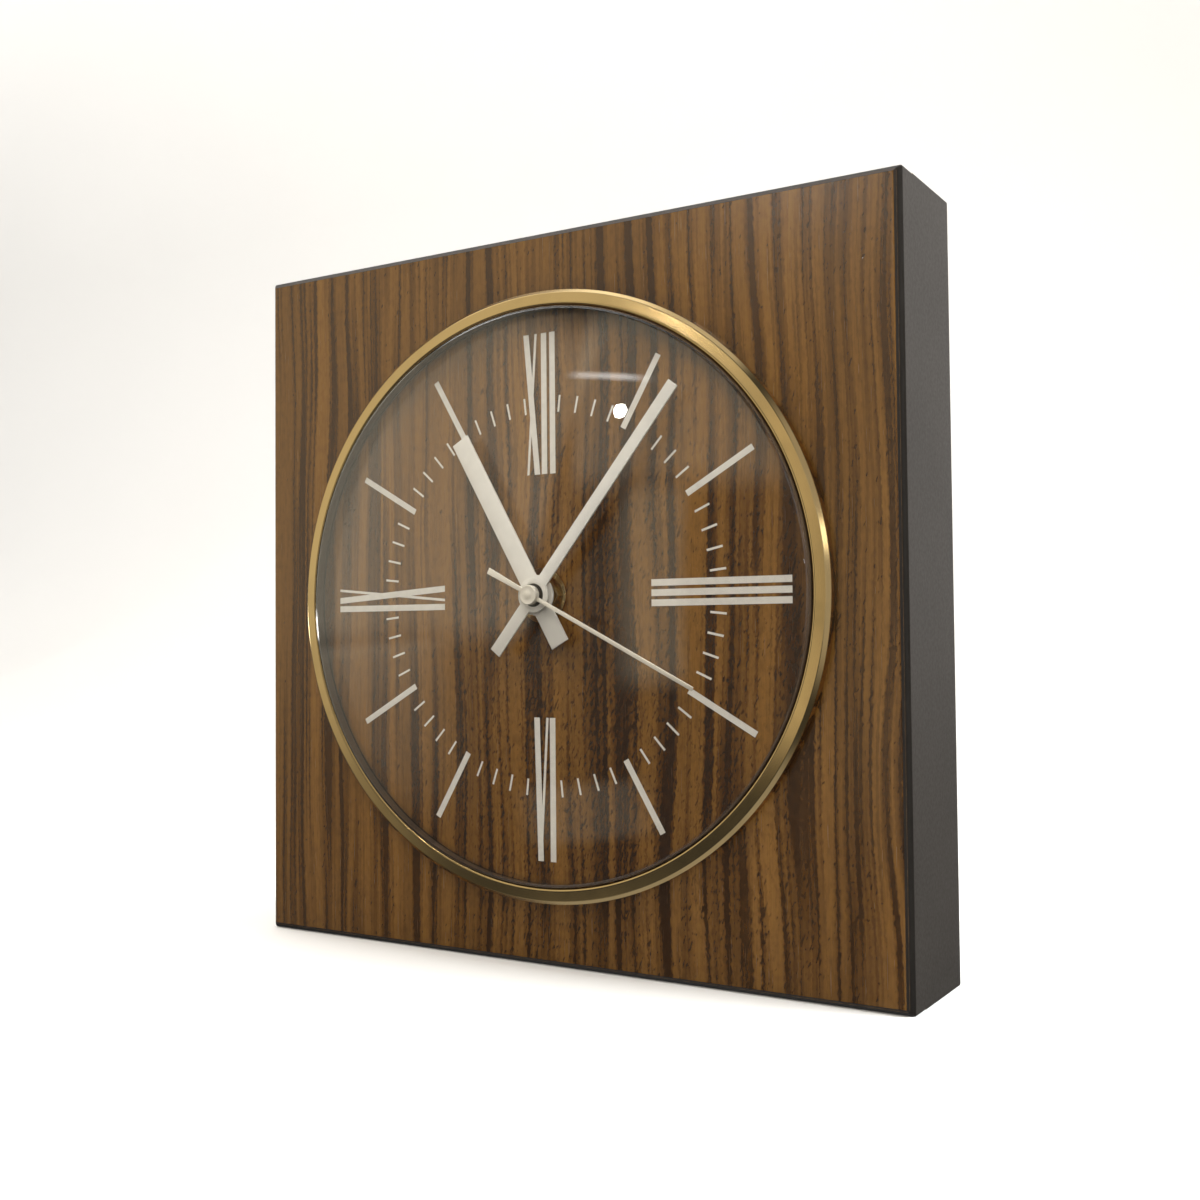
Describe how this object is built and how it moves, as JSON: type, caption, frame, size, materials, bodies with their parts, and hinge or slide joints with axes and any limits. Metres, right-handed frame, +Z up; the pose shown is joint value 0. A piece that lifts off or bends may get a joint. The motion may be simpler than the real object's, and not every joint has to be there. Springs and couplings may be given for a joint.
{
  "type": "wall clock",
  "caption": "Square wooden wall clock: domed lens in a brass bezel over a veneered dial with Roman numerals, hands driven by a geared battery movement, keyhole hanger at the back.",
  "frame": {"origin": "middle of the clock's foot: halfway across the case and halfway between the top of the lens and the back of the case", "axes": "+Z up, +X to the right as the dial is read, -Y the way the dial faces, +Y towards the wall"},
  "size_m": [0.203, 0.054, 0.203],
  "materials": {
    "veneer": "satin clear coat over brown veneer",
    "board": "bare pressed board, dark paint on the edges",
    "painted_wood": "satin grey-brown paint",
    "brass": "polished",
    "clear_lens": "clear, polished",
    "dark_rubber": "matt",
    "white_paint": "satin off-white paint",
    "cream_paint": "satin cream paint",
    "steel": "plain sheet",
    "black_plastic": "fine matt texture",
    "white_plastic": "smooth moulded",
    "copper": "wound enamelled wire",
    "circuit": "solder mask",
    "cell_jacket": "plain printed jacket"
  },
  "bodies": {
    "case": {"veneer_face": "veneer", "front_board": "board", "case_top_rail": "painted_wood", "case_right_rail": "painted_wood", "case_bottom_rail": "painted_wood", "case_left_rail": "painted_wood", "hanger_plate": "steel", "bezel": "brass", "lens_gasket": "dark_rubber", "lens": "clear_lens", "dial_washer": "brass", "dial_nut": "brass", "rubber_washer": "dark_rubber", "centre_bush": "brass", "movement_base": "black_plastic", "movement_cover": "black_plastic", "stator": "steel", "coil_core": "steel", "coil": "copper", "circuit_board": "circuit", "quartz_can": "steel", "positive_contact": "steel", "negative_contact": "steel"},
    "minute": {"minute_hand": "white_paint", "centre_wheel": "white_plastic"},
    "hour": {"hour_hand": "white_paint", "hour_wheel": "white_plastic"},
    "second": {"second_hand": "cream_paint", "second_wheel": "steel"},
    "third": {"third_wheel": "white_plastic"},
    "intermediate": {"intermediate_wheel": "white_plastic"},
    "rotor": {"rotor_shaft": "white_plastic", "rotor_magnet": "steel"},
    "motion": {"minute_wheel": "white_plastic"},
    "setting": {"set_shaft": "white_plastic", "set_knob": "black_plastic"},
    "cell": {"battery_cell": "cell_jacket"}
  },
  "joints": [
    {"name": "minute_turn", "type": "hinge", "parent": "case", "child": "minute", "pos_m": [0, 0, 0.1015], "axis": [0, 1, 0], "continuous": true},
    {"name": "hour_turn", "type": "hinge", "parent": "case", "child": "hour", "pos_m": [0, 0, 0.1015], "axis": [0, 1, 0], "continuous": true},
    {"name": "second_turn", "type": "hinge", "parent": "case", "child": "second", "pos_m": [0, 0, 0.1015], "axis": [0, 1, 0], "continuous": true},
    {"name": "third_turn", "type": "hinge", "parent": "case", "child": "third", "pos_m": [-0.00902, 0, 0.10478], "axis": [0, 1, 0], "continuous": true},
    {"name": "intermediate_turn", "type": "hinge", "parent": "case", "child": "intermediate", "pos_m": [0.0093, 0, 0.10489], "axis": [0, 1, 0], "continuous": true},
    {"name": "rotor_turn", "type": "hinge", "parent": "case", "child": "rotor", "pos_m": [0.0093, 0, 0.11259], "axis": [0, 1, 0], "continuous": true},
    {"name": "motion_turn", "type": "hinge", "parent": "case", "child": "motion", "pos_m": [0.0065, 0, 0.09775], "axis": [0, 1, 0], "continuous": true},
    {"name": "setting_turn", "type": "hinge", "parent": "case", "child": "setting", "pos_m": [0.01299, 0, 0.094], "axis": [0, 1, 0], "continuous": true},
    {"name": "cell_slide", "type": "slide", "parent": "case", "child": "cell", "axis": [0, 1, 0], "range_m": [0, 0.02]}
  ],
  "couplings": [
    {"joint": "hour_turn", "follows": "minute_turn", "ratio": 0.083333},
    {"joint": "second_turn", "follows": "minute_turn", "ratio": 60},
    {"joint": "third_turn", "follows": "minute_turn", "ratio": -8},
    {"joint": "intermediate_turn", "follows": "minute_turn", "ratio": -300},
    {"joint": "rotor_turn", "follows": "minute_turn", "ratio": 1800},
    {"joint": "motion_turn", "follows": "minute_turn", "ratio": -0.33333},
    {"joint": "setting_turn", "follows": "minute_turn", "ratio": 1}
  ]
}
